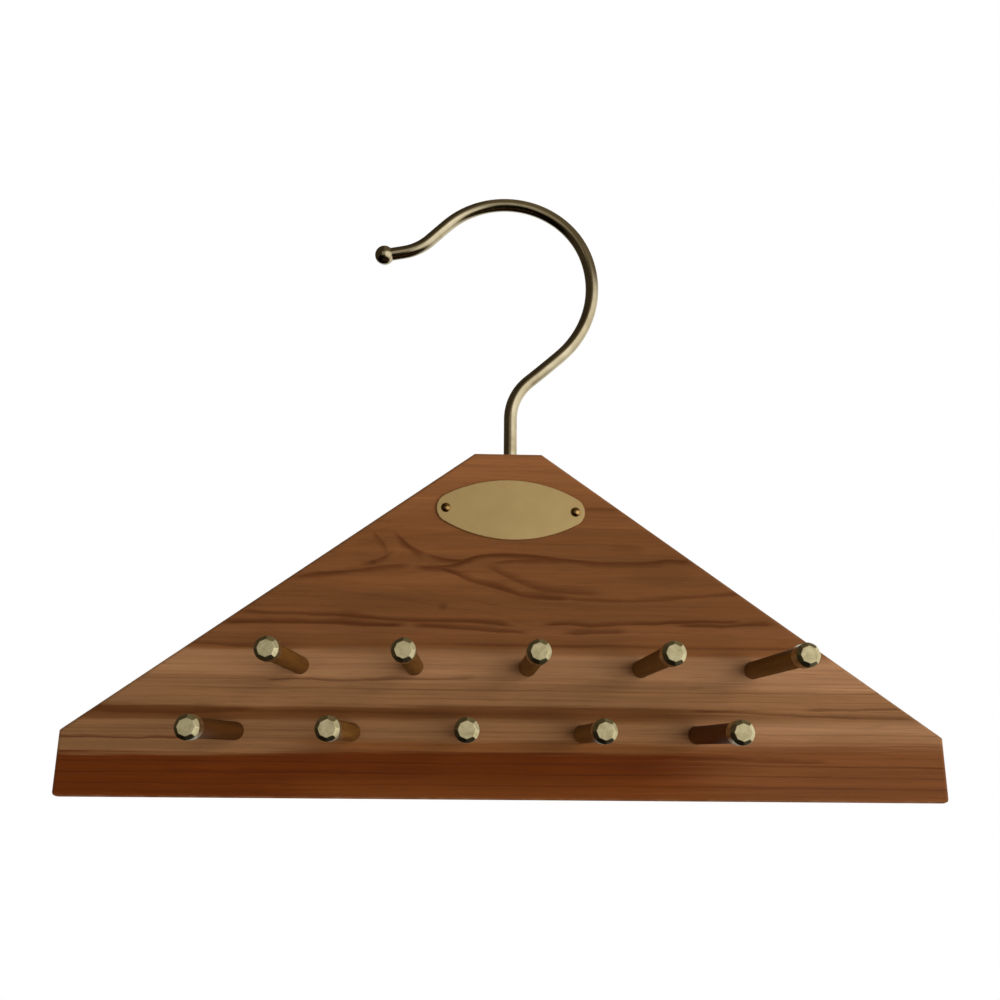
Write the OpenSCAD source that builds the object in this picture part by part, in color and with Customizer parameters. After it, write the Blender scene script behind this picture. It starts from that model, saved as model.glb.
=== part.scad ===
// Tie hanger: a cedar board with two staggered rows of capped dowel pegs, an oval
// plate, and a brass wire hook that turns in a sleeve pressed into the top edge.
// Millimetres, +Z up, +X along the board, pegs towards -Y. The origin is the rod's
// seat: the point on the underside of the hook's crown straight above its shank.

/* [Board] */
// Length of the board along its bottom edge
board_w = 300; // [250:1:400]
// Height of the board in the middle
board_h = 121; // [105:0.5:160]
// Thickness of the board
board_t = 18; // [15:0.5:28]
// Height of the upright ends, below the slopes
end_h = 21.5; // [15:0.5:32]
// Width of the flat at the top, where the hook stands
top_w = 24.5; // [18:0.5:40]
// Radius of the eased edges of both faces
ease_r = 1.5; // [0.5:0.1:2.5]
// Radius of the outline's corners
corner_r = 2.5; // [1:0.1:5]
// How far the board's middle lies to the right of the hook's axis
board_shift = -1; // [-5:0.1:5]

/* [Pegs] */
// Number of pegs in each row
row_pegs = 5; // [3:1:5]
// Distance between neighbouring pegs of a row
peg_pitch = 39.1; // [28:0.1:42]
// Height of the lower row above the bottom edge
lower_row_h = 21.6; // [15:0.1:26]
// Height of the upper row above the lower row
row_rise = 22.1; // [16:0.1:28]
// How far the lower row's middle lies to the right of the board's middle
lower_row_shift = -13.2; // [-20:0.1:20]
// How far the upper row's middle lies to the right of the board's middle
upper_row_shift = 7.3; // [-15:0.1:15]
// Diameter of the dowels
peg_d = 6; // [4:0.1:8]
// How far a peg stands out of the board, with its cap
peg_out = 57; // [35:0.5:75]
// Depth to which a dowel is set in the board
peg_seat = 12; // [8:0.5:13]
// Chamfer on the dowels' ends
peg_chamfer = 0.5; // [0.2:0.1:1]
// Glue gap round a dowel, on the radius
glue_gap = 0.05; // [0:0.01:0.1]

/* [Caps] */
// Wall of a cap's skirt
cap_wall = 0.55; // [0.3:0.05:1]
// Length of a cap
cap_l = 6; // [4:0.1:9]
// Thickness of a cap's crown
crown_t = 1.2; // [0.8:0.1:2]
// Number of flats round the crown
crown_flats = 8; // [6:1:12]
// Width of the crown across its flats
crown_w = 4.8; // [3:0.1:6]
// Angle of the flats to the crown's face
flat_angle = 45; // [30:1:55]
// Chamfer round the open end of a cap
cap_chamfer = 0.2; // [0.1:0.05:0.3]
// Gap between a cap and its dowel, on the radius
cap_gap = 0.05; // [0:0.01:0.1]

/* [Plate] */
// Length of the oval plate
plate_w = 53.2; // [44:0.1:60]
// Height of the oval plate
plate_h = 22; // [16:0.1:26]
// Radius of the plate's two ends
plate_end_r = 5.5; // [3:0.1:7]
// Thickness of the plate
plate_t = 0.8; // [0.5:0.1:1.5]
// How far the plate's middle lies below the board's top
plate_drop = 21.4; // [18:0.1:30]
// How far the plate is turned clockwise
plate_turn = 1.2; // [0:0.1:5]
// Distance from the plate's end to the middle of its nail
nail_inset = 3.3; // [2.4:0.1:8]
// Diameter of a nail's shank
nail_d = 1.4; // [1:0.1:1.8]
// Diameter of a nail's head
nail_head_d = 3.5; // [2.2:0.1:4]
// Height of a nail's domed head
nail_head_h = 1; // [0.5:0.1:1]
// Length of a nail below its head
nail_l = 10; // [6:0.5:12]
// Length of a nail's point
nail_point = 1.8; // [1:0.1:3]
// Gap between a nail's shank and the plate, on the radius
nail_gap = 0.1; // [0.05:0.01:0.3]

/* [Hook] */
// Diameter of the hook's wire
wire_d = 5; // [4:0.1:6]
// Straight shank between the board's top and the first bend
neck_h = 16.5; // [6:0.5:30]
// Radius of the bend above the shank
neck_r = 20; // [12:0.5:30]
// Turn of the bend above the shank
neck_turn = 49.5; // [40:0.5:55]
// Slight turn of the slanted stretch above that bend
slant_turn = 2.3; // [1:0.1:4]
// Radius of the side of the hook
side_r = 40; // [34:0.5:46]
// Turn of the side of the hook
side_turn = 68; // [60:0.5:75]
// Radius of the hook's crown
crown_r = 33.5; // [28:0.5:40]
// Turn of the hook's crown
crown_turn = 113.5; // [105:0.5:125]
// Slight turn of the falling stretch after the crown
fall_turn = 1.4; // [0.5:0.1:3]
// Radius of the upturned lip
lip_r = 20; // [12:0.5:28]
// Turn of the upturned lip
lip_turn = 34; // [20:0.5:50]
// Slight turn of the lip's end, which stops in the ball
tip_turn = 1.1; // [0.8:0.1:2.5]
// Radius of the three stretches that look straight
easy_r = 400; // [300:10:600]
// Diameter of the ball on the hook's tip
ball_d = 7.5; // [6.5:0.1:10]

/* [Swivel] */
// Outside diameter of the sleeve
sleeve_d = 8; // [7.6:0.1:10]
// Length of the sleeve
sleeve_l = 22; // [14:0.5:30]
// Number of barbs round the sleeve
barbs = 3; // [1:1:4]
// Height of a barb above the sleeve
barb_h = 0.35; // [0.2:0.05:0.5]
// Length of a barb along the sleeve
barb_l = 2.4; // [1.5:0.1:3]
// Running gap between the shank and the sleeve, on the radius
swivel_gap = 0.05; // [0.02:0.01:0.1]
// Thickness of the washer under the sleeve
washer_t = 0.8; // [0.5:0.1:1.5]
// Gap between the washer and the shank, on the radius
washer_gap = 0.15; // [0.1:0.05:0.3]
// Gap between the washer's rim and the bore, on the radius
washer_room = 0.3; // [0.2:0.05:0.5]
// Play of the hook along its axis
swivel_play = 0.1; // [0.05:0.05:0.5]
// Height of the headed end of the shank
head_h = 1.8; // [1:0.1:3]
// Free depth of the bore below the headed end
bore_spare = 2; // [1:0.5:6]

/* [Hidden] */
$fn = 64;

upper_names = [for (i = [1:row_pegs]) str("upper_peg_", i)];
lower_names = [for (i = [1:row_pegs]) str("lower_peg_", i)];
upper_cap_names = [for (i = [1:row_pegs]) str("upper_cap_", i)];
lower_cap_names = [for (i = [1:row_pegs]) str("lower_cap_", i)];

cedar = [0.53, 0.35, 0.22];
dowel_brown = [0.48, 0.31, 0.18];
brass = [0.63, 0.54, 0.35];
steel = [0.62, 0.62, 0.60];

// Board: heights are measured from its bottom edge, x from the hook's axis
front_y = -board_t / 2;
run = (board_w - top_w) / 2;
slope = atan2(board_h - end_h, run);
board_outline = [
    [-board_w / 2, 0],
    [board_w / 2, 0],
    [board_w / 2, end_h],
    [top_w / 2, board_h],
    [-top_w / 2, board_h],
    [-board_w / 2, end_h]
];
slab = 2 * board_w;

// How far a cut runs past the face that it opens
over = 1;

// Pegs and caps: y of the front of the caps and of the dowels' two ends
cap_front_y = front_y - peg_out;
dowel_front_y = cap_front_y + crown_t;
dowel_back_y = front_y + peg_seat;
cap_d = peg_d + 2 * (cap_gap + cap_wall);
upper_row_h = lower_row_h + row_rise;

// Plate: an oval of four arcs
plate_z = board_h - plate_drop;
plate_end_x = plate_w / 2 - plate_end_r;
nail_x = plate_w / 2 - nail_inset;
plate_long_r = (plate_end_x ^ 2 + (plate_h / 2) ^ 2 - plate_end_r ^ 2) / (plate_h - 2 * plate_end_r);
plate_long_z = plate_long_r - plate_h / 2;
plate_join_x = plate_end_x * plate_long_r / (plate_long_r - plate_end_r);

// Hook: a chain of bends in one plane, as [radius, turn], a positive turn to the left.
// Each starts where the one before it ends, at its heading
wire_bends = [
    [neck_r, -neck_turn],
    [easy_r, slant_turn],
    [side_r, side_turn],
    [crown_r, crown_turn],
    [easy_r, fall_turn],
    [lip_r, -lip_turn],
    [easy_r, -tip_turn]
];
last = len(wire_bends) - 1;
crown = last - 3;

function ahead(p, heading, distance) = p + distance * [cos(heading), sin(heading)];
function start_heading(i) = i == 0 ? 90 : start_heading(i - 1) + wire_bends[i - 1][1];
function start_point(i) = i == 0 ? [0, board_h + neck_h] : end_point(i - 1);
function bend_side(i) = 90 * sign(wire_bends[i][1]);
function bend_centre(i) = ahead(start_point(i), start_heading(i) + bend_side(i), wire_bends[i][0]);
function end_point(i) = ahead(bend_centre(i), start_heading(i + 1) - bend_side(i), wire_bends[i][0]);

// The rod's seat above the board's bottom edge
crown_c = bend_centre(crown);
seat_h = crown_c[1] + sqrt((crown_r - wire_d / 2) ^ 2 - crown_c[0] ^ 2);

// Swivel: heights of the sleeve's foot, the washer's foot and the shank's end
sleeve_foot = board_h - sleeve_l;
washer_foot = sleeve_foot - swivel_play - washer_t;
shank_foot = washer_foot - head_h;
bore_foot = shank_foot - bore_spare;
washer_d = sleeve_d - 2 * washer_room;
head_d = washer_d - 2 * washer_room;
head_chamfer = head_h / 4;
barb_pitch = sleeve_l / (barbs + 1);

// Moves a piece that is drawn above the board's bottom edge to the rod's seat
module hang() {
    translate([0, 0, -seat_h])
        children();
}

// Stands an outline that is drawn in the board's plane upright
module upright() {
    rotate([90, 0, 0])
        children();
}

// One corner of the outline, less its round
module corner_waste(before, corner, after) {
    inward_1 = (before - corner) / norm(before - corner);
    inward_2 = (after - corner) / norm(after - corner);
    half_angle = acos(inward_1 * inward_2) / 2;
    tangent = corner_r / tan(half_angle);
    middle = (inward_1 + inward_2) / norm(inward_1 + inward_2);
    centre = corner + middle * corner_r / sin(half_angle);
    difference() {
        polygon([corner - middle, corner + inward_1 * tangent, centre, corner + inward_2 * tangent]);
        translate(centre)
            circle(corner_r);
    }
}

module board_shape() {
    count = len(board_outline);
    difference() {
        polygon(board_outline);
        for (i = [0:count - 1])
            corner_waste(
                board_outline[(i + count - 1) % count],
                board_outline[i],
                board_outline[(i + 1) % count]
            );
    }
}

// A slab with one eased edge along +X, its body towards +Z
module eased_slab() {
    flat_half = board_t / 2 - ease_r;
    rotate([90, 0, 90])
        linear_extrude(slab, center = true) {
            translate([-board_t / 2, ease_r])
                square([board_t, slab]);
            translate([-flat_half, 0])
                square([2 * flat_half, slab]);
            for (side = [-1, 1])
                translate([side * flat_half, ease_r])
                    circle(ease_r);
        }
}

module board_blank() {
    count = len(board_outline);
    intersection() {
        upright()
            linear_extrude(board_t, center = true)
                board_shape();
        intersection_for (i = [0:count - 1]) {
            from = board_outline[i];
            along = board_outline[(i + 1) % count] - from;
            translate([from[0], 0, from[1]])
                rotate([0, -atan2(along[1], along[0]), 0])
                    eased_slab();
        }
    }
}

function peg_x(i, shift) = board_shift + shift + (i - (row_pegs + 1) / 2) * peg_pitch;

module peg_bores(row_h, shift) {
    for (i = [1:row_pegs])
        translate([peg_x(i, shift), dowel_back_y, row_h])
            rotate([90, 0, 0])
                cylinder(h = board_t, d = peg_d + 2 * glue_gap);
}

// The sleeve's outside, barbs included, standing on z = 0
module sleeve_form() {
    r = sleeve_d / 2;
    cylinder(h = sleeve_l, d = sleeve_d);
    for (i = [1:barbs])
        translate([0, 0, i * barb_pitch - barb_l / 2])
            rotate_extrude()
                polygon([[r / 2, 0], [r, 0], [r + barb_h, barb_l], [r / 2, barb_l]]);
}

module board() {
    color(cedar)
        hang()
            difference() {
                translate([board_shift, 0, 0])
                    board_blank();
                peg_bores(lower_row_h, lower_row_shift);
                peg_bores(upper_row_h, upper_row_shift);
                translate([0, 0, sleeve_foot])
                    sleeve_form();
                translate([0, 0, bore_foot])
                    cylinder(h = sleeve_foot - bore_foot + over, d = sleeve_d);
                for (side = [-1, 1])
                    nail_place(side)
                        nail_body();
            }
}

// A dowel from its seat in the board to the inside of its cap
module dowel(i, row_h, shift) {
    length = dowel_back_y - dowel_front_y;
    r = peg_d / 2;
    color(dowel_brown)
        hang()
            translate([peg_x(i, shift), dowel_back_y, row_h])
                rotate([90, 0, 0])
                    rotate_extrude()
                        polygon([
                            [0, 0],
                            [r - peg_chamfer, 0],
                            [r, peg_chamfer],
                            [r, length - peg_chamfer],
                            [r - peg_chamfer, length],
                            [0, length]
                        ]);
}

// A thimble whose round crown is cut to a bevelled octagon, face at z = 0
module cap_form() {
    r = cap_d / 2;
    difference() {
        rotate_extrude()
            polygon([[0, -cap_l], [r - cap_chamfer, -cap_l], [r, cap_chamfer - cap_l], [r, 0], [0, 0]]);
        translate([0, 0, -cap_l - over])
            cylinder(h = cap_l + over - crown_t, r = peg_d / 2 + cap_gap);
        for (i = [0:crown_flats - 1])
            rotate([0, 0, (i + 0.5) * 360 / crown_flats])
                translate([crown_w / 2, 0, 0])
                    rotate([0, flat_angle, 0])
                        translate([-cap_d, -cap_d, 0])
                            cube([2 * cap_d, 2 * cap_d, cap_d]);
    }
}

module cap(i, row_h, shift) {
    color(brass)
        hang()
            translate([peg_x(i, shift), cap_front_y, row_h])
                rotate([90, 0, 0])
                    cap_form();
}

// The plate's outline: two long arcs, closed by a round at each end
module plate_shape() {
    intersection() {
        square([2 * plate_join_x, plate_h], center = true);
        translate([0, -plate_long_z])
            circle(plate_long_r);
        translate([0, plate_long_z])
            circle(plate_long_r);
    }
    for (side = [-1, 1])
        translate([side * plate_end_x, 0])
            circle(plate_end_r);
}

// Places a thing at the plate's middle, on the board's face, its z towards the front
module plate_place() {
    translate([0, front_y, plate_z])
        rotate([0, plate_turn, 0])
            upright()
                children();
}

module nail_place(side) {
    plate_place()
        translate([side * nail_x, 0, plate_t])
            children();
}

module plate() {
    color(brass)
        hang()
            plate_place()
                difference() {
                    linear_extrude(plate_t)
                        plate_shape();
                    for (side = [-1, 1])
                        translate([side * nail_x, 0, -over])
                            cylinder(h = plate_t + 2 * over, r = nail_d / 2 + nail_gap);
                }
}

// A nail's shank and point, below its head's seat at z = 0
module nail_body() {
    r = nail_d / 2;
    rotate_extrude()
        polygon([[0, 0], [r, 0], [r, nail_point - nail_l], [0, -nail_l]]);
}

module plate_nail(side) {
    dome_r = ((nail_head_d / 2) ^ 2 + nail_head_h ^ 2) / (2 * nail_head_h);
    color(brass)
        hang()
            nail_place(side) {
                nail_body();
                intersection() {
                    translate([0, 0, nail_head_h - dome_r])
                        sphere(dome_r);
                    cylinder(h = nail_head_h + over, d = nail_head_d);
                }
            }
}

// Places a thing in the hook's plane, in three steps that keep every digit of the place
module place(p) {
    whole = [round(p[0]), round(p[1])];
    part = [round((p[0] - whole[0]) * 1000), round((p[1] - whole[1]) * 1000)] / 1000;
    rest = p - whole - part;
    translate([whole[0], 0, whole[1]])
        translate([part[0], 0, part[1]])
            translate([rest[0], 0, rest[1]])
                children();
}

// One bend of the wire
module wire_bend(i) {
    turn = wire_bends[i][1];
    place(bend_centre(i))
        upright()
            rotate_extrude(angle = abs(turn), start = start_heading(i) - bend_side(i) + min(turn, 0))
                translate([wire_bends[i][0], 0])
                    circle(d = wire_d);
}

module hook_wire() {
    head_r = head_d / 2;
    color(brass)
        hang() {
            translate([0, 0, washer_foot])
                cylinder(h = board_h + neck_h - washer_foot, d = wire_d);
            for (i = [0:last])
                wire_bend(i);
            translate([0, 0, shank_foot])
                rotate_extrude()
                    polygon([
                        [0, 0],
                        [head_r - head_chamfer, 0],
                        [head_r, head_chamfer],
                        [head_r, head_h],
                        [0, head_h]
                    ]);
        }
}

module hook_ball() {
    color(brass)
        hang()
            difference() {
                place(end_point(last))
                    sphere(d = ball_d);
                wire_bend(last);
            }
}

module swivel_sleeve() {
    color(brass)
        hang()
            translate([0, 0, sleeve_foot])
                difference() {
                    sleeve_form();
                    translate([0, 0, -over])
                        cylinder(h = sleeve_l + 2 * over, r = wire_d / 2 + swivel_gap);
                }
}

module thrust_washer() {
    color(steel)
        hang()
            translate([0, 0, washer_foot])
                difference() {
                    cylinder(h = washer_t, d = washer_d);
                    translate([0, 0, -over])
                        cylinder(h = washer_t + 2 * over, r = wire_d / 2 + washer_gap);
                }
}

board();
plate();
plate_nail(-1);  // plate_nail_left
plate_nail(1);  // plate_nail_right
hook_wire();
hook_ball();
swivel_sleeve();
thrust_washer();
for (i = [1:row_pegs]) {
    dowel(i, upper_row_h, upper_row_shift);
    dowel(i, lower_row_h, lower_row_shift);
    cap(i, upper_row_h, upper_row_shift);
    cap(i, lower_row_h, lower_row_shift);
}
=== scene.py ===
from math import hypot, radians

import bmesh
import bpy
from mathutils import Matrix, Vector


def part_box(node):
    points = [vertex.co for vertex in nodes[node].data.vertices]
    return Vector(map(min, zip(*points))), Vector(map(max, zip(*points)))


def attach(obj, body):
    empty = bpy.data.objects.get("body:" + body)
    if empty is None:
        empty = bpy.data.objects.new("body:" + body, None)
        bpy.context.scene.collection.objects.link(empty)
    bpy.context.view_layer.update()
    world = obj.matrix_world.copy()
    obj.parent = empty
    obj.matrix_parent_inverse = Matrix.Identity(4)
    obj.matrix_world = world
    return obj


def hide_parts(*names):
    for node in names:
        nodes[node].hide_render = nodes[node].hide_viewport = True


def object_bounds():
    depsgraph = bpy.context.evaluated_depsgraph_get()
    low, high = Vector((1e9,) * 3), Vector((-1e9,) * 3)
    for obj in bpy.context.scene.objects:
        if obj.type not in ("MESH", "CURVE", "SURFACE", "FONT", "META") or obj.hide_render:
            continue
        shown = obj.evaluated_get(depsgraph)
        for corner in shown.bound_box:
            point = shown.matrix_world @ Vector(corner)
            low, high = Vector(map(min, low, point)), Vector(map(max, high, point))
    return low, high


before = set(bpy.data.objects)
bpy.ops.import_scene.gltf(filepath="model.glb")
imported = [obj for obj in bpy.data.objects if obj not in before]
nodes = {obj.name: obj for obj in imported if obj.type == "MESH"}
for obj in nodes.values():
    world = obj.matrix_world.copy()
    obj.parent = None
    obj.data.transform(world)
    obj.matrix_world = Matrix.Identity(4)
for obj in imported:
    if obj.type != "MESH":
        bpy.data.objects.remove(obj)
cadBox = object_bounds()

mm = 0.001
hangerBody = "peg_board"


# Colours are written as the eye reads them, 0 to 255, and turned into light values here
def tone(red, green, blue):
    def light(value):
        share = value / 255
        return share / 12.92 if share <= 0.04045 else ((share + 0.055) / 1.055) ** 2.4
    return (light(red), light(green), light(blue), 1.0)


# Nodes: an input is either a plain value or another node's socket
def addNode(tree, kind, inputs=None, **settings):
    node = tree.nodes.new(kind)
    for key, value in settings.items():
        setattr(node, key, value)
    for key, value in (inputs or {}).items():
        if isinstance(value, bpy.types.NodeSocket):
            tree.links.new(value, node.inputs[key])
        else:
            node.inputs[key].default_value = value
    return node


def calc(tree, operation, *values, clamp=False):
    inputs = dict(enumerate(values))
    return addNode(tree, "ShaderNodeMath", inputs, operation=operation, use_clamp=clamp).outputs[0]


def plus(tree, first, second):
    return calc(tree, "ADD", first, second)


def minus(tree, first, second):
    return calc(tree, "SUBTRACT", first, second)


def times(tree, first, *others):
    product = first
    for other in others:
        product = calc(tree, "MULTIPLY", product, other)
    return product


def strongest(tree, masks):
    top = masks[0]
    for mask in masks[1:]:
        top = calc(tree, "MAXIMUM", top, mask)
    return top


def squaresOf(tree, first, second):
    return plus(tree, calc(tree, "POWER", first, 2.0), calc(tree, "POWER", second, 2.0))


def vectorCalc(tree, operation, *values):
    return addNode(tree, "ShaderNodeVectorMath", dict(enumerate(values)), operation=operation).outputs[0]


def scaled(tree, vector, factor):
    inputs = {0: vector, "Scale": factor}
    return addNode(tree, "ShaderNodeVectorMath", inputs, operation="SCALE").outputs[0]


def stretch(tree, value, low, high, toLow=0.0, toHigh=1.0, kind="LINEAR"):
    inputs = {"Value": value, "From Min": low, "From Max": high, "To Min": toLow, "To Max": toHigh}
    return addNode(tree, "ShaderNodeMapRange", inputs, interpolation_type=kind).outputs[0]


# The same with soft ends, between two edges
def ease(tree, value, edges, toLow=0.0, toHigh=1.0):
    return stretch(tree, value, *edges, toLow, toHigh, kind="SMOOTHSTEP")


def ramp(tree, factor, stops):
    node = addNode(tree, "ShaderNodeValToRGB", {"Fac": factor})
    elements = node.color_ramp.elements
    while len(elements) < len(stops):
        elements.new(0.5)
    for element, (place, colour) in zip(elements, stops):
        element.position = place
        element.color = colour
    return node.outputs[0]


def mixColour(tree, factor, first, second, blend="MIX"):
    inputs = {0: factor, 6: first, 7: second}
    return addNode(tree, "ShaderNodeMix", inputs, data_type="RGBA", blend_type=blend).outputs[2]


def noise(tree, vector, size, detail=3.0, roughness=0.5, distortion=0.0):
    inputs = {
        "Vector": vector, "Scale": 1.0 / size, "Detail": detail, "Roughness": roughness,
        "Distortion": distortion,
    }
    return addNode(tree, "ShaderNodeTexNoise", inputs).outputs[0]


def axes(tree, vector):
    node = addNode(tree, "ShaderNodeSeparateXYZ", {0: vector})
    return node.outputs[0], node.outputs[1], node.outputs[2]


def joinAxes(tree, x, y, z):
    return addNode(tree, "ShaderNodeCombineXYZ", {0: x, 1: y, 2: z}).outputs[0]


# How squarely a surface faces along the part's x, y and z
def facings(tree):
    normal = addNode(tree, "ShaderNodeTexCoord").outputs["Normal"]
    return [calc(tree, "ABSOLUTE", part) for part in axes(tree, normal)]


# Places in millimetres on a piece, counted from a named point of the frame
def placeInMm(tree, origin=(0, 0, 0)):
    place = addNode(tree, "ShaderNodeTexCoord").outputs["Object"]
    return scaled(tree, vectorCalc(tree, "SUBTRACT", place, Vector(origin)), 1 / mm)


def newGroup(name, inputs, outputs):
    group = bpy.data.node_groups.new(name, "ShaderNodeTree")
    group.interface.new_socket("Vector", in_out="INPUT", socket_type="NodeSocketVector")
    for label, value in inputs.items():
        socket = group.interface.new_socket(label, in_out="INPUT", socket_type="NodeSocketFloat")
        socket.default_value = value
    for label in outputs:
        group.interface.new_socket(label, in_out="OUTPUT", socket_type="NodeSocketFloat")
    return group, addNode(group, "NodeGroupInput").outputs, addNode(group, "NodeGroupOutput")


def useGroup(tree, group, inputs):
    return addNode(tree, "ShaderNodeGroup", inputs, node_tree=group).outputs


def newMaterial(name, **fixed):
    material = bpy.data.materials.new(name)
    material.use_nodes = True
    tree = material.node_tree
    shader = tree.nodes["Principled BSDF"]
    for key, value in fixed.items():
        shader.inputs[key.replace("_", " ")].default_value = value
    return material, tree, shader


def feed(tree, shader, **sockets):
    for key, socket in sockets.items():
        tree.links.new(socket, shader.inputs[key.replace("_", " ")])


def bump(tree, height, strength, depth):
    inputs = {"Height": height, "Strength": strength, "Distance": depth * mm}
    return addNode(tree, "ShaderNodeBump", inputs).outputs[0]


def newObject(name, data):
    made = bpy.data.objects.new(name, data)
    bpy.context.scene.collection.objects.link(made)
    return made


# Fibres of a wood whose grain runs along the vector's first axis, in millimetres
def makeWoodFibre():
    group, given, out = newGroup(
        "woodFibre", {"Length": 60.0, "Width": 0.9}, ("Streak", "Pore", "Height"),
    )
    along, across, up = axes(group, given["Vector"])
    wide = joinAxes(
        group, calc(group, "DIVIDE", along, given["Length"]),
        calc(group, "DIVIDE", across, given["Width"]), calc(group, "DIVIDE", up, given["Width"]),
    )

    def fibres(squeeze, detail, roughness, distortion=0.0):
        squeezed = vectorCalc(group, "MULTIPLY", wide, squeeze)
        return noise(group, squeezed, 1.0, detail, roughness, distortion)

    broad = fibres((1.0, 0.3, 0.3), 4.0, 0.55, 0.3)
    narrow = fibres((2.2, 1.6, 1.6), 3.0, 0.6)
    streak = plus(group, times(group, broad, 0.6), times(group, narrow, 0.4))
    pore = stretch(group, fibres((7.0, 3.4, 3.4), 2.0, 0.5), 0.6, 0.72)
    height = minus(group, narrow, times(group, pore, 0.5))
    for label, socket in (("Streak", streak), ("Pore", pore), ("Height", height)):
        group.links.new(socket, out.inputs[label])
    return group


# Handling marks of metal: cloudy tarnish, hairline scratches and small dents
def makeMetalWear():
    group, given, out = newGroup(
        "metalWear", {"Cloud": 4.0, "Hair": 0.25}, ("Tarnish", "Scratch", "Height"),
    )
    cloud = scaled(group, given["Vector"], calc(group, "DIVIDE", 1.0, given["Cloud"]))
    tarnish = stretch(group, noise(group, cloud, 1.0, 5.0, 0.6, 0.4), 0.38, 0.68)
    hair = scaled(group, given["Vector"], calc(group, "DIVIDE", 1.0, given["Hair"]))
    lines = []
    for turn in ((0.2, 0.9, 0.4), (1.1, -0.4, 0.7)):
        inputs = {"Vector": hair, "Rotation": turn, "Scale": (0.04, 1.0, 1.0)}
        turned = addNode(group, "ShaderNodeMapping", inputs).outputs[0]
        lines.append(noise(group, turned, 1.0, 2.0, 0.5))
    scratch = stretch(group, strongest(group, lines), 0.62, 0.75)
    dents = noise(group, cloud, 0.35, 2.0, 0.5)
    height = minus(group, dents, times(group, scratch, 0.4))
    for label, socket in (("Tarnish", tarnish), ("Scratch", scratch), ("Height", height)):
        group.links.new(socket, out.inputs[label])
    return group


woodFibre = makeWoodFibre()
metalWear = makeMetalWear()
print("shared groups made")

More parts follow.
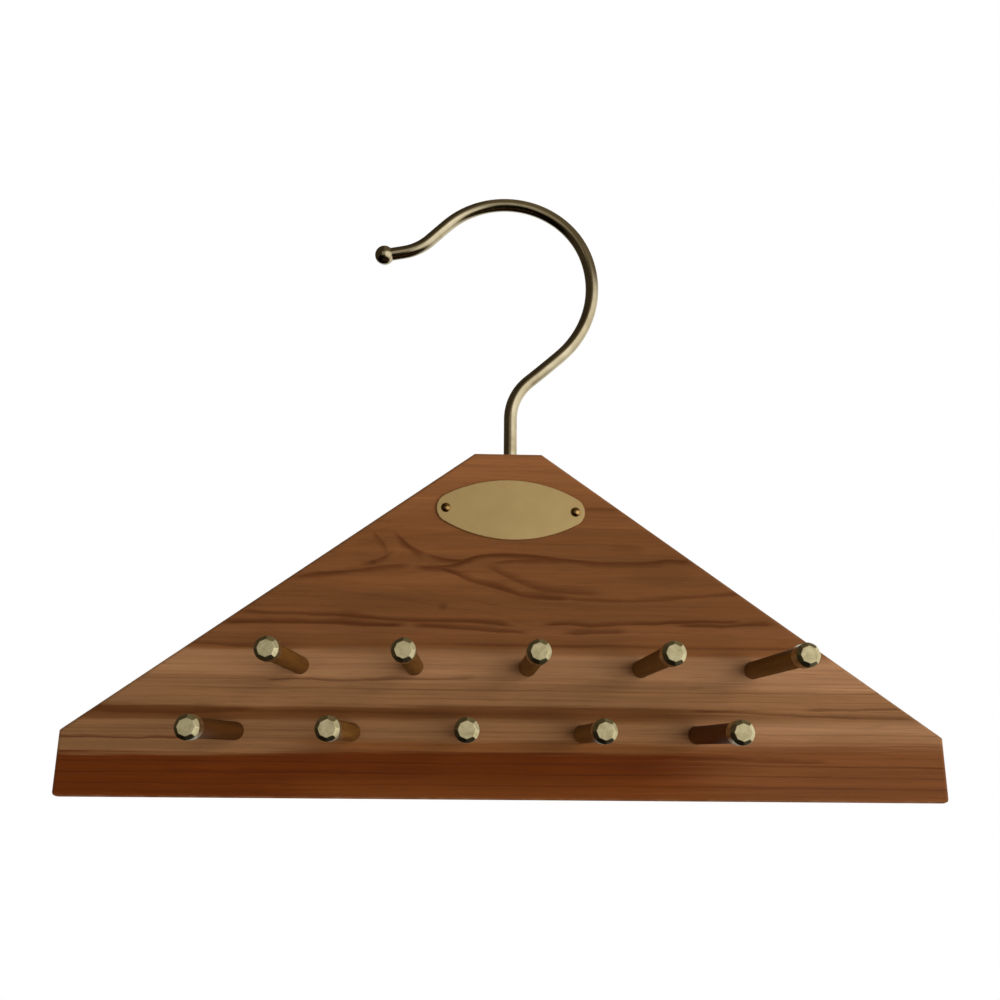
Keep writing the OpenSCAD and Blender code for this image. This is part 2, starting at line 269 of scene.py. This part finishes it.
# The cedar board. Heights are in mm above the bottom edge, places along it in mm from the
# hook's axis. Tones lie in bands along the grain; growth rings run about a pith in front of
# the face, and the figure under the plate is drawn line by line
cedar = {
    "tones": {
        "deep": (91, 42, 9), "warmDeep": (106, 58, 24), "faded": (110, 67, 38),
        "middling": (116, 74, 41), "sand": (129, 93, 63), "tan": (137, 100, 69),
        "pale": (150, 112, 81), "bright": (155, 117, 87), "brown": (103, 65, 35),
        "umber": (114, 74, 43), "plain": (120, 79, 49), "upper": (110, 71, 41),
        "rosy": (134, 88, 54), "late": (66, 28, 6), "pore": (62, 36, 16), "end": (98, 60, 32),
        # worn: the eased edges' lighter tone, partly wear and partly a painted highlight
        "worn": (172, 138, 110),
    },
    "leftBands": [
        (0, "deep"), (13.6, "deep"), (14.9, "sand"), (21.5, "sand"), (24.4, "tan"), (26.0, "brown"),
        (29.0, "brown"), (30.8, "tan"), (40.0, "tan"), (42.0, "pale"), (48.2, "pale"),
        (49.8, "umber"), (52.5, "umber"), (55.5, "plain"), (60, "upper"), (90, "upper"),
        (119, "rosy"),
    ],
    "middleBands": [
        (0, "warmDeep"), (9, "deep"), (14.4, "deep"), (15.6, "middling"), (18.2, "middling"),
        (19.6, "sand"), (24.8, "tan"), (26.8, "brown"), (29.6, "brown"), (31.4, "tan"),
        (37.5, "tan"), (41.0, "pale"), (47.2, "pale"), (50.4, "umber"), (53.0, "umber"),
        (55.5, "plain"), (60, "upper"), (90, "upper"), (119, "rosy"),
    ],
    "rightBands": [
        (0, "faded"), (16.4, "faded"), (21.4, "pale"), (24.0, "bright"), (26.4, "sand"),
        (29.5, "sand"), (31.5, "tan"), (35.0, "tan"), (38.5, "bright"), (46.5, "bright"),
        (49.6, "umber"), (53.0, "umber"), (55.5, "plain"), (60, "upper"), (90, "upper"),
        (119, "rosy"),
    ],
    "leftToMiddle": (-88, -52),
    "middleToRight": (42, 92),
    "bandDrift": 120.0,
    "height": 121.0,
    # the pith that the rings run about; they swell round the middle of the lens under the plate
    "pithHeight": 75.5,
    "pithSlope": -0.045,
    "pithRise": 4.0,
    "pithDepth": 30.0,
    "lensMiddle": 45.0,
    "lensCurve": 0.00022,
    "lensFrom": (50, 66),
    # waves of the grain: the noise's size along each axis, and how far it moves a line
    "wander": ((110, 30, 34), 1.1),
    "ripple": ((26, 8, 6), 0.35),
    "ringWander": ((60, 20, 22), 0.5),
    "shake": ((9, 6, 5), 0.5),
    "fineDrift": ((70, 16, 9), 1.6),
    # fibres and broader streaks: their size, how far they move a band, how they shade it
    "fibre": {"Length": 70.0, "Width": 0.7},
    "fibreShift": 3.0,
    "fibreShade": (0.82, 1.18),
    "streaks": {"Length": 190.0, "Width": 1.7},
    "streakShift": 7.0,
    "streakShade": (0.84, 1.16),
    "usualStreak": (0.3, 0.7),
    # places where the lines are weaker, and how weak the rings and the figure get there
    "patchSizes": (50, 9, 6),
    "patchSpan": (0.36, 0.62),
    "ringsInPatch": 0.35,
    "figureInPatch": 0.7,
    # height on the face, strength and width of each dark growth line
    "rings": [
        (70.9, 0.5, 0.6), (68.0, 0.9, 0.75), (62.4, 0.45, 0.6), (58.2, 0.95, 0.8),
        (51.0, 0.5, 0.9), (44.0, 0.3, 0.4), (39.2, 0.35, 0.45), (36.0, 0.5, 0.5),
        (33.0, 0.4, 0.4), (28.2, 0.5, 0.9), (22.0, 0.35, 0.4), (19.3, 0.35, 0.5),
        (11.6, 0.7, 0.5), (8.2, 0.8, 0.5), (4.6, 0.6, 0.5),
    ],
    "leastReach": 0.12,
    "fineSpacing": 1.5,
    "fineSharpness": 5.0,
    "fineStrength": 0.22,
    # the drawn figure takes over from the rings above this height and before this depth
    "drawnAbove": (52, 56),
    "drawnBefore": (0.5, 5),
    "outerEdge": 1.7,
    "innerEdge": 0.62,
    "thinSizes": (16, 5, 4),
    "thinning": (1.1, 0.5),
    "longestFade": 7.0,
    # softly lighter or darker places: along, height, half length, half height, change
    "clouds": [
        (-34, 74.2, 32, 4.2, 0.2), (-44, 65.5, 26, 5.5, -0.12), (53, 76.5, 17, 4.5, -0.13),
        (14, 75.5, 16, 3.4, 0.05), (-48, 84, 9, 8, -0.07), (-23.5, 64.6, 2.2, 2.0, -0.22),
        (-48.5, 79.9, 1.6, 1.1, -0.3), (118, 50, 30, 6, 0.06), (-142, 27, 36, 26, -0.13),
    ],
    "ringDarkness": 0.9,
    "poreDarkness": 0.35,
    # end grain on the sides; eased edges lighter, partly wear, partly painted highlight: size of its
    # spots, least and most
    "endGrain": 0.6,
    "easedFacing": (0.5, 0.98),
    "wornSize": 6.0,
    "worn": (0.25, 0.7),
    "lineRelief": 0.6,
    "reliefStrength": 0.35,
    "reliefDepth": 0.12,
    "roughness": (0.66, 0.84),
}

# Lines of the figure near the front face: points along and up it, half width, strength. Each is
# crisp on its outer side and fades towards the heart of the figure
figure = {
    "upperBranch": (
        [(-36, 79.3), (-29, 78.6), (-22, 79.0), (-15, 81.4), (-8, 83.0), (0, 83.4), (10, 82.8),
         (20, 81.7), (30, 81.0), (40, 80.8), (50, 81.2), (58, 82.0), (68, 81.2)], 1.2, 0.9,
    ),
    "upperInner": ([(-9, 79.7), (-4, 80.6), (2, 81.2), (10, 81.5), (18, 81.7)], 0.8, 0.6),
    "lowerBranch": (
        [(-31, 78.8), (-25, 77.8), (-20, 76.4), (-15, 74.2), (-10, 72.8), (-5, 71.6), (0, 69.9),
         (5, 68.5), (12, 67.8), (24, 67.4)], 1.3, 0.85,
    ),
    "lowerRight": (
        [(12, 67.8), (24, 67.4), (36, 67.2), (50, 67.4), (62, 68.6), (74, 69.6), (86, 70.8)],
        0.9, 0.6,
    ),
    "innerChevron": (
        [(-11, 79.4), (-7, 78.2), (-2, 75.9), (3, 73.6), (7, 72.0), (12, 70.8), (20, 70.0),
         (34, 69.6)], 1.6, 0.6,
    ),
    "leftWave": (
        [(-80, 73.6), (-70, 75.2), (-62, 76.2), (-55, 77.0), (-48, 77.8), (-40, 78.9),
         (-33, 79.3)], 1.2, 0.75,
    ),
    "bowlFall": (
        [(-43, 93.5), (-40.5, 90.0), (-37.5, 87.5), (-35, 85.2), (-31.5, 83.6), (-28, 83.3)],
        1.7, 0.8,
    ),
    "bowlFoot": ([(-33, 84.0), (-28, 82.4), (-23, 81.2), (-17, 80.9), (-12, 82.2)], 1.0, 0.8),
    "swirlFoot": ([(-54, 79.2), (-48, 80.5), (-44, 82.2), (-40.5, 85.5)], 1.2, 0.7),
    "swirlSide": ([(-50, 91.5), (-46.5, 88.5), (-44.5, 86.0), (-42.5, 83.0)], 1.7, 0.5),
    "highLeft": (
        [(-96, 61.7), (-75, 61.4), (-60, 60.9), (-50, 60.2), (-40, 59.5), (-30, 59.3),
         (-15, 59.4), (-4, 58.4), (4, 57.4)], 0.95, 0.8,
    ),
    "lowLeft": (
        [(-102, 57.9), (-75, 58.4), (-65, 58.2), (-55, 58.0), (-48, 57.6), (-34, 57.9)],
        1.1, 0.95,
    ),
    "lowMiddle": ([(-36, 57.7), (-20, 57.0), (-5, 56.2), (9, 55.5)], 0.95, 0.85),
    "highRight": (
        [(9, 58.1), (20, 58.8), (30, 58.4), (40, 59.0), (50, 59.2), (58, 59.8), (66, 60.0),
         (84, 60.4)], 0.9, 0.85,
    ),
    "lowRight": ([(16, 55.5), (30, 55.8), (44, 56.4)], 0.9, 0.75),
    "farRight": ([(56, 58.9), (70, 58.6), (86, 59.3), (96, 59.6)], 0.9, 0.8),
    "besidePlate": ([(24, 100.2), (32, 100.8), (42, 100.0)], 1.0, 0.4),
    "underPlate": ([(33, 86.2), (40, 86.9), (50, 85.9)], 1.3, 0.35),
    "leftShoulder": ([(-116, 51.0), (-104, 50.6), (-94, 50.1), (-82, 49.7)], 0.8, 0.6),
    "paleMiddle": (
        [(-86, 38.5), (-70, 39.0), (-58, 38.7), (-48, 38.9), (-38, 39.4), (-26, 39.3),
         (-10, 40.0)], 0.6, 0.7,
    ),
    "brownLeft": (
        [(-148, 28.8), (-130, 27.7), (-115, 27.3), (-100, 27.8), (-84, 28.5)], 1.2, 0.65,
    ),
    "brownRight": (
        [(60, 29.6), (78, 29.2), (92, 28.6), (108, 28.0), (124, 27.7), (142, 27.5)], 0.7, 0.7,
    ),
    "paleRight": ([(98, 30.2), (116, 30.3), (130, 30.8), (144, 31.0)], 0.5, 0.55),
    "leftEnd": ([(-156, 19.2), (-138, 19.2), (-128, 19.0), (-118, 19.2), (-102, 19.6)], 0.6, 1.0),
    "deepLeft": ([(-118, 8.5), (-90, 8.0), (-70, 8.3), (-50, 8.0)], 0.8, 0.7),
    "fadedRight": ([(54, 13.3), (72, 13.6), (88, 13.0), (110, 12.7)], 0.7, 0.6),
}


# Noise drawn out along the grain, its sizes in mm along each axis
def grainNoise(tree, place, sizes, detail):
    return noise(tree, vectorCalc(tree, "MULTIPLY", place, [1 / size for size in sizes]), 1.0, detail)


def sway(tree, place, wave, detail=2.0):
    sizes, reach = wave
    return times(tree, minus(tree, grainNoise(tree, place, sizes, detail), 0.5), 2 * reach)


# Distance from the pith, whose line slopes and swells round the lens high on the face
def ringRadius(tree, place, along, depth, height, waved):
    middle = cedar["pithHeight"]
    fromLens = minus(tree, along, cedar["lensMiddle"])
    bent = ease(tree, height, cedar["lensFrom"])
    sloping = plus(tree, times(tree, fromLens, cedar["pithSlope"]), middle)
    sloping = calc(tree, "MINIMUM", sloping, middle + cedar["pithRise"])
    pithHeight = plus(tree, middle, times(tree, minus(tree, sloping, middle), bent))
    swell = times(tree, calc(tree, "POWER", fromLens, 2.0), times(tree, bent, cedar["lensCurve"]))
    pithDepth = plus(tree, plus(tree, depth, swell), cedar["pithDepth"])
    squares = squaresOf(tree, minus(tree, waved, pithHeight), pithDepth)
    return plus(tree, calc(tree, "SQRT", squares), sway(tree, place, cedar["ringWander"], 3.0))


def drawRings(tree, radius):
    lines = []
    for ringHeight, strength, width in cedar["rings"]:
        fromPith = abs(ringHeight - cedar["pithHeight"])
        ownRadius = hypot(fromPith, cedar["pithDepth"])
        reach = max(width * fromPith / ownRadius, cedar["leastReach"])
        away = calc(tree, "ABSOLUTE", minus(tree, radius, ownRadius))
        lines.append(ease(tree, away, (0, reach), strength, 0))
    return strongest(tree, lines)


# One line of the figure: a curve of height over place along, soft at both ends
def drawStroke(tree, along, shaky, thin, points, width, strength):
    first, last = points[0][0], points[-1][0]
    heights = [point[1] for point in points]
    lowest, highest = min(heights) - 1, max(heights) + 1
    curve = addNode(tree, "ShaderNodeFloatCurve", {"Value": stretch(tree, along, first, last)})
    dots = curve.mapping.curves[0].points
    while len(dots) < len(points):
        dots.new(0.5, 0.5)
    for dot, (pointAlong, pointHeight) in zip(dots, points):
        dot.location = (
            (pointAlong - first) / (last - first), (pointHeight - lowest) / (highest - lowest)
        )
    curve.mapping.update()
    lineHeight = stretch(tree, curve.outputs[0], 0, 1, lowest, highest)
    outward = times(tree, minus(tree, shaky, lineHeight), thin)
    if sum(heights) / len(heights) < cedar["pithHeight"]:
        outward = times(tree, outward, -1.0)
    away = strongest(
        tree, [times(tree, outward, cedar["outerEdge"]), times(tree, outward, -cedar["innerEdge"])]
    )
    fade = min(cedar["longestFade"], (last - first) / 3)
    starts = ease(tree, along, (first, first + fade))
    ends = ease(tree, along, (last - fade, last), 1, 0)
    return times(tree, ease(tree, away, (0, width), strength, 0), times(tree, starts, ends))


def drawFigure(tree, place, along, height):
    shaky = plus(tree, height, sway(tree, place, cedar["shake"], 3.0))
    thinNoise = grainNoise(tree, place, cedar["thinSizes"], 1.0)
    thin = stretch(tree, thinNoise, *cedar["usualStreak"], *cedar["thinning"])
    return strongest(tree, [drawStroke(tree, along, shaky, thin, *line) for line in figure.values()])


# Three columns of bands, blended into each other along the board
def bandColour(tree, along, bandHeight, wavering, tones):
    left, middle, right = [
        ramp(tree, bandHeight, [(stop / cedar["height"], tones[name]) for stop, name in cedar[part]])
        for part in ("leftBands", "middleBands", "rightBands")
    ]
    drift = plus(tree, along, times(tree, wavering, cedar["bandDrift"]))
    colour = mixColour(tree, ease(tree, drift, cedar["leftToMiddle"]), left, middle)
    return mixColour(tree, ease(tree, drift, cedar["middleToRight"]), colour, right)


def cloudShade(tree, along, waved, shade):
    for cloudAlong, cloudHeight, halfLong, halfHigh, change in cedar["clouds"]:
        offAlong = calc(tree, "DIVIDE", minus(tree, along, cloudAlong), halfLong)
        offHeight = calc(tree, "DIVIDE", minus(tree, waved, cloudHeight), halfHigh)
        squares = squaresOf(tree, offAlong, offHeight)
        shade = times(tree, shade, ease(tree, squares, (0, 1), 1 + change, 1))
    return shade


def makeCedar():
    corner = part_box("board")[0]
    tones = {name: tone(*colour) for name, colour in cedar["tones"].items()}
    material, tree, shader = newMaterial("cedar", Specular_IOR_Level=0.1)
    place = placeInMm(tree, (0.0, corner.y, corner.z))
    along, depth, height = axes(tree, place)
    swing = plus(tree, sway(tree, place, cedar["wander"]), sway(tree, place, cedar["ripple"]))
    waved = plus(tree, height, swing)

    radius = ringRadius(tree, place, along, depth, height, waved)
    nearFront = ease(tree, depth, cedar["drawnBefore"], 1, 0)
    drawn = times(tree, nearFront, stretch(tree, height, *cedar["drawnAbove"]))
    rings = times(tree, drawRings(tree, radius), minus(tree, 1.0, drawn))
    finePlace = calc(tree, "DIVIDE", radius, cedar["fineSpacing"])
    fine = calc(tree, "FRACT", plus(tree, finePlace, sway(tree, place, cedar["fineDrift"], 1.0)))
    fine = times(tree, calc(tree, "POWER", fine, cedar["fineSharpness"]), cedar["fineStrength"])
    patchNoise = grainNoise(tree, place, cedar["patchSizes"], 3.0)
    patches = stretch(tree, patchNoise, *cedar["patchSpan"])
    ringsHere = stretch(tree, patches, 0, 1, cedar["ringsInPatch"], 1.0)
    rings = times(tree, strongest(tree, [rings, fine]), ringsHere)
    strokes = times(tree, drawFigure(tree, place, along, height), nearFront)
    strokes = times(tree, strokes, stretch(tree, patches, 0, 1, cedar["figureInPatch"], 1.0))
    lines = calc(tree, "MAXIMUM", rings, strokes, clamp=True)

    fibre = useGroup(tree, woodFibre, {"Vector": place, **cedar["fibre"]})
    streaks = useGroup(tree, woodFibre, {"Vector": place, **cedar["streaks"]})
    wavering = minus(tree, streaks["Streak"], 0.5)
    fineShift = times(tree, minus(tree, fibre["Streak"], 0.5), cedar["fibreShift"])
    shift = plus(tree, times(tree, wavering, cedar["streakShift"]), fineShift)
    bandHeight = stretch(tree, plus(tree, waved, shift), 0.0, cedar["height"])
    colour = bandColour(tree, along, bandHeight, wavering, tones)

    usual = cedar["usualStreak"]
    shade = times(
        tree, stretch(tree, fibre["Streak"], *usual, *cedar["fibreShade"]),
        stretch(tree, streaks["Streak"], *usual, *cedar["streakShade"]),
    )
    shade = cloudShade(tree, along, waved, shade)
    colour = mixColour(tree, 1.0, colour, joinAxes(tree, shade, shade, shade), "MULTIPLY")
    colour = mixColour(tree, times(tree, lines, cedar["ringDarkness"]), colour, tones["late"])
    colour = mixColour(tree, times(tree, fibre["Pore"], cedar["poreDarkness"]), colour, tones["pore"])

    facingX, facingY = facings(tree)[:2]
    endGrain = stretch(tree, facingX, 0.5, 1.0, 0.0, cedar["endGrain"])
    colour = mixColour(tree, endGrain, colour, tones["end"])
    # Eased edges take a lighter tone in spots: partly handling wear, partly a painted highlight of the
    # edge catching light
    eased = times(tree, facingY, ease(tree, facingY, cedar["easedFacing"], 1, 0))
    rubbedAndLit = stretch(tree, noise(tree, place, cedar["wornSize"], 3.0), 0.4, 0.65, *cedar["worn"])
    colour = mixColour(tree, times(tree, eased, rubbedAndLit), colour, tones["worn"])

    relief = plus(tree, fibre["Height"], times(tree, lines, cedar["lineRelief"]))
    normal = bump(tree, relief, cedar["reliefStrength"], cedar["reliefDepth"])
    roughness = stretch(tree, fibre["Streak"], *usual, *cedar["roughness"])
    feed(tree, shader, Base_Color=colour, Roughness=roughness, Normal=normal)
    return material


# The dowels: grain along their length, browner than the board, two of them tinted darker all over
dowel = {
    "pale": (118, 80, 28),
    "dark": (84, 48, 12),
    "endTone": (62, 34, 12),
    "pegTints": {"lower_peg_1": (192, 174, 138), "lower_peg_5": (200, 165, 160)},
    "pegTintReach": (16, 25),  # squares of the distance from the dowel's axis
    "fibre": {"Length": 30.0, "Width": 0.45},
    "poreDarkness": 0.5,
    "roughness": (0.5, 0.66),
}


def makeDowelWood():
    material, tree, shader = newMaterial("dowelWood", Specular_IOR_Level=0.25)
    along, depth, height = axes(tree, placeInMm(tree))
    grain = joinAxes(tree, depth, along, height)
    fibre = useGroup(tree, woodFibre, {"Vector": grain, **dowel["fibre"]})
    shade = stretch(tree, fibre["Streak"], 0.32, 0.68)
    colour = mixColour(tree, shade, tone(*dowel["dark"]), tone(*dowel["pale"]))
    pores = times(tree, fibre["Pore"], dowel["poreDarkness"])
    colour = mixColour(tree, pores, colour, tone(*dowel["endTone"]))
    # Two dowels are multiplied by their own darker tint
    for name, pegTone in dowel["pegTints"].items():
        low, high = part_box(name)
        fromMiddle = axes(tree, placeInMm(tree, (low + high) / 2))
        fromAxis = squaresOf(tree, fromMiddle[0], fromMiddle[2])
        own = stretch(tree, fromAxis, *dowel["pegTintReach"], 1, 0)
        colour = mixColour(tree, own, colour, tone(*pegTone), "MULTIPLY")
    roughness = stretch(tree, fibre["Streak"], 0.3, 0.7, *dowel["roughness"])
    normal = bump(tree, fibre["Height"], 0.3, 0.08)
    feed(tree, shader, Base_Color=colour, Roughness=roughness, Normal=normal)
    return material


# Metals: base and tarnish tones, the span of roughness, the size of clouds and hairlines and the
# strength of dents. A flat end may be rougher and less metallic than the rest
metals = {
    "hookBrass": {
        "bright": (178, 171, 150), "dull": (148, 138, 114), "roughness": (0.12, 0.24),
        "cloud": 14.0, "hair": 0.3, "dents": 0.015,
    },
    "capBrass": {
        "bright": (198, 192, 160), "dull": (172, 165, 130), "roughness": (0.32, 0.44),
        "satinEnd": 0.22, "endMetal": 0.7, "cloud": 2.2, "hair": 0.16, "dents": 0.03,
    },
    "plateBrass": {
        "bright": (213, 192, 141), "dull": (208, 184, 135), "roughness": (0.5, 0.56),
        "cloud": 18.0, "hair": 0.2, "dents": 0.02,
    },
    "nailBrass": {
        "bright": (176, 146, 98), "dull": (110, 84, 48), "roughness": (0.2, 0.34),
        "cloud": 1.6, "hair": 0.12, "dents": 0.04,
    },
    "sleeveBrass": {
        "bright": (190, 166, 112), "dull": (138, 114, 68), "roughness": (0.28, 0.42),
        "cloud": 5.0, "hair": 0.15, "dents": 0.04,
    },
    "washerSteel": {
        "bright": (180, 180, 176), "dull": (128, 128, 124), "roughness": (0.25, 0.4),
        "cloud": 3.0, "hair": 0.12, "dents": 0.04,
    },
}


def makeMetal(name):
    look = metals[name]
    material, tree, shader = newMaterial(name, Metallic=1.0)
    inputs = {"Vector": placeInMm(tree), "Cloud": look["cloud"], "Hair": look["hair"]}
    wear = useGroup(tree, metalWear, inputs)
    colour = mixColour(tree, wear["Tarnish"], tone(*look["bright"]), tone(*look["dull"]))
    worn = plus(tree, times(tree, wear["Tarnish"], 0.7), times(tree, wear["Scratch"], 0.3))
    roughness = stretch(tree, worn, 0.0, 1.0, *look["roughness"])
    if "satinEnd" in look:
        endFace = stretch(tree, facings(tree)[1], 0.95, 0.99)
        roughness = plus(tree, roughness, times(tree, endFace, look["satinEnd"]))
        feed(tree, shader, Metallic=stretch(tree, endFace, 0, 1, 1.0, look["endMetal"]))
    normal = bump(tree, wear["Height"], look["dents"], 0.1)
    feed(tree, shader, Base_Color=colour, Roughness=roughness, Normal=normal)
    return material


finishes = {name: makeMetal(name) for name in metals}
finishes["cedar"] = makeCedar()
finishes["dowelWood"] = makeDowelWood()
print("materials made:", ", ".join(finishes))


# Which finish each CAD node takes
def finishOf(name):
    named = {
        "board": "cedar", "plate": "plateBrass", "hook_wire": "hookBrass", "hook_ball": "hookBrass",
        "swivel_sleeve": "sleeveBrass", "thrust_washer": "washerSteel",
    }
    if name in named:
        return named[name]
    if "nail" in name:
        return "nailBrass"
    return "dowelWood" if "_peg_" in name else "capBrass"


for name, node in nodes.items():
    node.data.materials.clear()
    node.data.materials.append(finishes[finishOf(name)])
print("CAD nodes dressed")

# Brass pieces whose sharp edges get the small rounding that polishing leaves, in mm
rounding = {
    "cap": {"width": 0.16, "finish": "capBrass", "slot": "cap_brass"},
    "plate": {"width": 0.22, "finish": "plateBrass", "slot": "plate_brass"},
    "segments": 3,
    "weld": 0.002,
    "flatBelow": 1,  # degrees between faces that are one flat
    "sharpAbove": 20,  # degrees between faces whose edge is rounded
    "flatWeight": 80,
}


def roundEdges(nodeName, look):
    bm = bmesh.new()
    bm.from_mesh(nodes[nodeName].data)
    bmesh.ops.remove_doubles(bm, verts=bm.verts, dist=rounding["weld"] * mm)
    flat = radians(rounding["flatBelow"])
    bmesh.ops.dissolve_limit(bm, angle_limit=flat, verts=bm.verts, edges=bm.edges)
    least = radians(rounding["sharpAbove"])
    sharp = [edge for edge in bm.edges if edge.is_manifold and edge.calc_face_angle() > least]
    bmesh.ops.bevel(
        bm, geom=sharp, offset=look["width"] * mm, affect="EDGES", segments=rounding["segments"],
        profile=0.5, material=-1, clamp_overlap=True,
    )
    bmesh.ops.recalc_face_normals(bm, faces=bm.faces)
    for face in bm.faces:
        face.smooth = True
    mesh = bpy.data.meshes.new(nodeName + "_rounded")
    bm.to_mesh(mesh)
    bm.free()
    mesh.materials.append(finishes[look["finish"]])
    piece = newObject(nodeName + "_rounded", mesh)
    piece.modifiers.new("flatFaces", "WEIGHTED_NORMAL").weight = rounding["flatWeight"]
    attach(piece, hangerBody)
    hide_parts(nodeName)
    return len(mesh.polygons)


faceCount = roundEdges("plate", rounding["plate"])
for row in ("upper", "lower"):
    for number in range(1, 6):
        faceCount += roundEdges(f"{row}_cap_{number}", rounding["cap"])
print("edges rounded on the plate and ten caps:", faceCount, "faces")

# The room round the part, which polished metal mirrors: a broad bright window to the right, a dimmer
# panel in front, dark to the left and below, and a white backdrop behind. Each edge is soft, from
# one share of the way towards the right, the back or the top to another
room = {
    "front": 0.22,
    "left": 0.07,
    "leftEdge": (-0.2, 0.06),
    "below": 0.06,
    "belowEdge": (-0.45, -0.15),
    "window": {"level": 1.45, "side": (0.12, 0.45), "top": (0.32, 0.6), "foot": (-0.72, -0.42)},
    "windowBack": 0.74,
    "windowBackEdge": (-0.5, 0.1),
    "panel": {"level": 0.42, "side": (0.3, 0.55), "top": (0.26, 0.42), "foot": (-0.5, -0.25)},
    "panelBackEdge": (-0.4, -0.1),
    "backdropEdge": (0.8, 0.92),
    "shadeTone": (255, 226, 178),
    "windowTone": (255, 248, 234),
    "toneSpan": (0.15, 0.7),  # levels from which and by which the light takes the window's tone
}
white = (1, 1, 1, 1)


def makeWorld():
    world = bpy.data.worlds.new("studioWorld")
    bpy.context.scene.world = world
    world.use_nodes = True
    tree = world.node_tree
    direction = addNode(tree, "ShaderNodeTexCoord").outputs["Generated"]
    side, back, up = axes(tree, direction)

    def between(part):
        return times(tree, ease(tree, up, part["top"], 1, 0), ease(tree, up, part["foot"]))

    window, panel = room["window"], room["panel"]
    level = ease(tree, side, room["leftEdge"], room["left"], room["front"])
    level = times(tree, level, ease(tree, up, room["belowEdge"], room["below"], 1.0))
    glow = times(tree, ease(tree, side, window["side"], 0, window["level"]), between(window))
    glow = times(tree, glow, ease(tree, back, room["windowBackEdge"], 1.0, room["windowBack"]))
    aside = calc(tree, "ABSOLUTE", side)
    front = times(tree, ease(tree, aside, panel["side"], panel["level"], 0), between(panel))
    front = times(tree, front, ease(tree, back, room["panelBackEdge"], 1, 0))
    level = plus(tree, plus(tree, level, glow), front)
    likeWindow = stretch(tree, level, *room["toneSpan"])
    hue = mixColour(tree, likeWindow, tone(*room["shadeTone"]), tone(*room["windowTone"]))
    backdrop = ease(tree, back, room["backdropEdge"])
    mirrored = mixColour(tree, backdrop, scaled(tree, hue, level), white)
    seen = addNode(tree, "ShaderNodeLightPath").outputs["Is Camera Ray"]
    colour = mixColour(tree, seen, mirrored, white)
    tree.links.new(colour, tree.nodes["Background"].inputs["Color"])


# A pale floor far below the hanging part. The camera sees its paleness, other light its tone
floorLook = {
    "drop": 0.95,
    "radius": 3.0,
    "tone": (214, 212, 207),
    "seen": (48, 47, 46),
    "pale": (245, 243, 240),
}


def makeFloor():
    floorHeight = cadBox[0][2] - floorLook["drop"]
    bm = bmesh.new()
    bmesh.ops.create_circle(bm, cap_ends=True, segments=128, radius=floorLook["radius"])
    bmesh.ops.translate(bm, verts=bm.verts, vec=(0, 0, floorHeight))
    mesh = bpy.data.meshes.new("floor")
    bm.to_mesh(mesh)
    bm.free()
    floor = newObject("floor", mesh)
    pale = tone(*floorLook["pale"])
    material, tree, shader = newMaterial("floorPaint", Roughness=0.9, Emission_Color=pale)
    seen = addNode(tree, "ShaderNodeLightPath").outputs["Is Camera Ray"]
    paint = mixColour(tree, seen, tone(*floorLook["tone"]), tone(*floorLook["seen"]))
    feed(tree, shader, Base_Color=paint, Emission_Strength=seen)
    floor.visible_glossy = False
    floor.data.materials.append(material)


# Soft lamps: the key at the right in front, a weak one at the left for the dowels' shaded sides,
# and a weak fill behind for the back of the board
lamps = {
    "keyLamp": {"place": (1.22, -1.44, -0.36), "size": 2.3, "power": 31.7},
    "sideLamp": {"place": (-1.6, -0.5, -0.55), "size": 1.2, "power": 8.0},
    "fillLamp": {"place": (-0.9, 1.7, 0.55), "size": 1.6, "power": 15.0},
}
lampAim = (0.0, 0.0, -0.15)
lampTone = (255, 248, 238)


def makeLamp(name):
    look = lamps[name]
    lamp = bpy.data.lights.new(name, "AREA")
    lamp.shape = "DISK"
    lamp.size = look["size"]
    lamp.energy = look["power"]
    lamp.color = tone(*lampTone)[:3]
    holder = newObject(name, lamp)
    holder.location = look["place"]
    holder.visible_glossy = False  # polished metal mirrors the window instead
    towards = Vector(lampAim) - Vector(look["place"])
    holder.rotation_euler = towards.to_track_quat("-Z", "Y").to_euler()


# The camera stands close in front of the pegs, near the height of the board's bottom edge.
# Its place is in mm and its focal length in pixels of the picture's width
view = {
    "place": (-13.048, -340.12, -209.754),
    "forward": (0.026694, 0.966736, 0.254378),
    "down": (0.016361, 0.254012, -0.967063),
    "focal": 950.258,
    "pictureWidth": 1000.0,
    "sensor": 36.0,
    "reach": (0.01, 20.0),
}


def makeCamera():
    data = bpy.data.cameras.new("camera")
    data.sensor_width = view["sensor"]
    data.lens = view["sensor"] * view["focal"] / view["pictureWidth"]
    data.clip_start, data.clip_end = view["reach"]
    camera = newObject("camera", data)
    forward = Vector(view["forward"]).normalized()
    right = Vector(view["down"]).cross(forward).normalized()
    up = right.cross(forward)
    turned = Matrix((right, up, -forward)).transposed().to_4x4()
    camera.matrix_world = Matrix.Translation(Vector(view["place"]) * mm) @ turned
    bpy.context.scene.camera = camera


makeWorld()
makeFloor()
for name in lamps:
    makeLamp(name)
makeCamera()
bpy.context.scene.view_settings.view_transform = "Standard"
print("studio and camera set")
